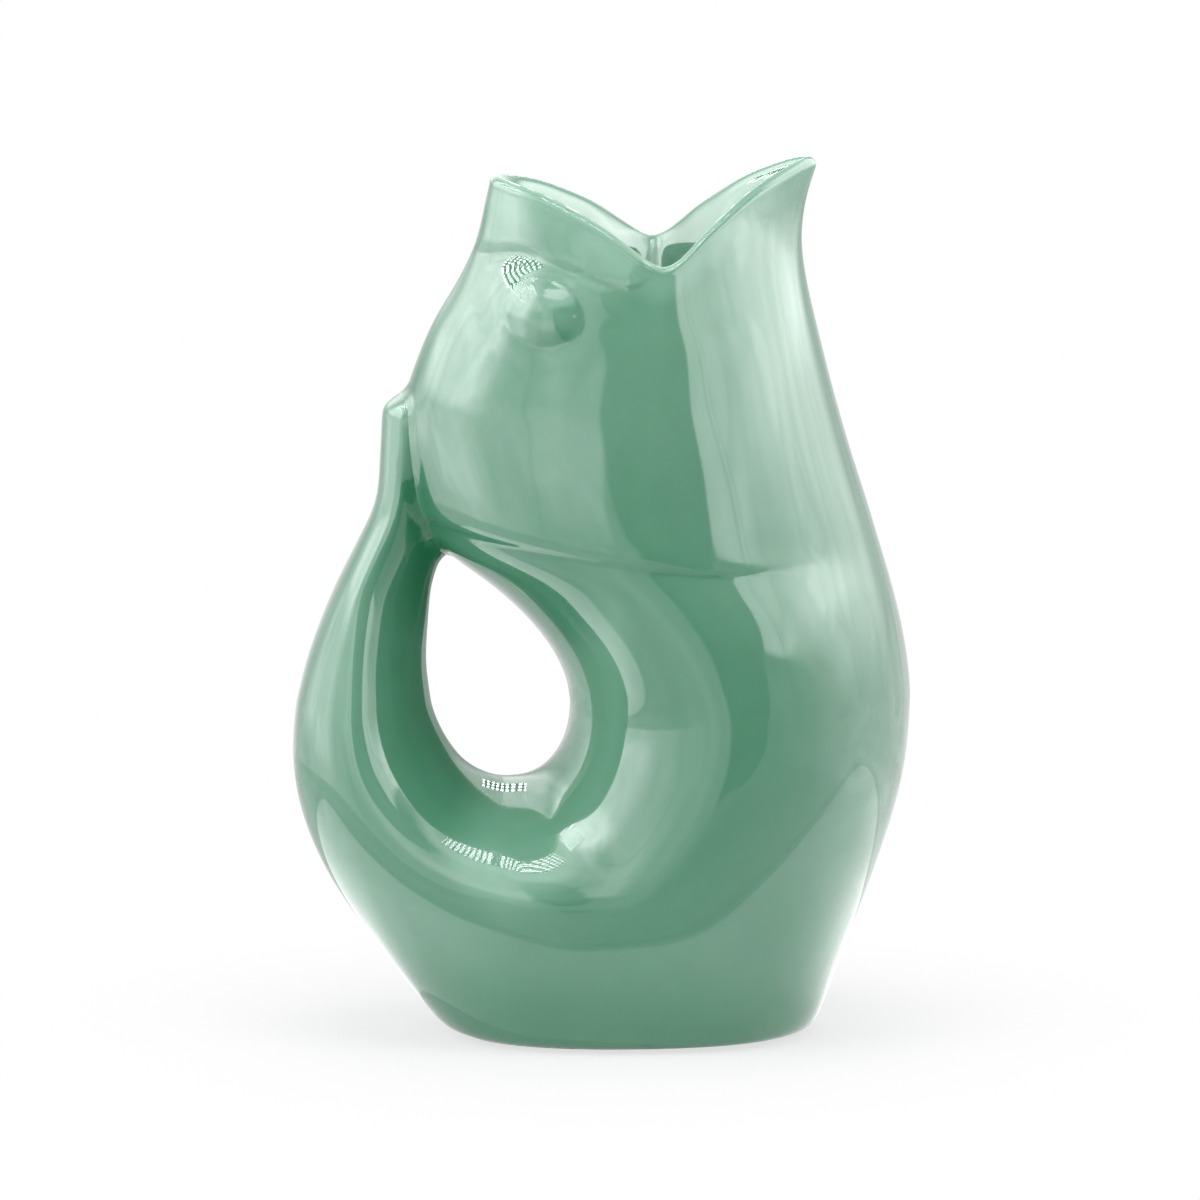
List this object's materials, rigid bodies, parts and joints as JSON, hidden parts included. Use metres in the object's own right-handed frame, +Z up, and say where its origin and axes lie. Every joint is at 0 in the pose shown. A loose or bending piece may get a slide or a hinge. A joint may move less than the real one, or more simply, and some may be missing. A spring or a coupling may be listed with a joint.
{
  "type": "gurgle jug",
  "caption": "Glazed stoneware jug shaped as an upright fish: pours from the open mouth, gurgles as its hollow tail handle lets air back into the bowl, stands on a flat foot.",
  "frame": {"origin": "On the table under the middle of the jug's length and depth; the foot ring's flat underside lies on z = 0.", "axes": "+X towards the pouring spout and the belly, -X towards the tail handle, Y across the jug with y = 0 the mould's parting plane, +Z up."},
  "size_m": [0.1877, 0.1238, 0.267],
  "materials": {
    "glaze": "glossy celadon glaze",
    "clay": "bare fired clay"
  },
  "bodies": {
    "root": {"foot_ring": "clay", "body_shell": "glaze", "tail_handle": "glaze", "tail_fin": "glaze", "left_eye": "glaze", "right_eye": "glaze"}
  },
  "joints": []
}
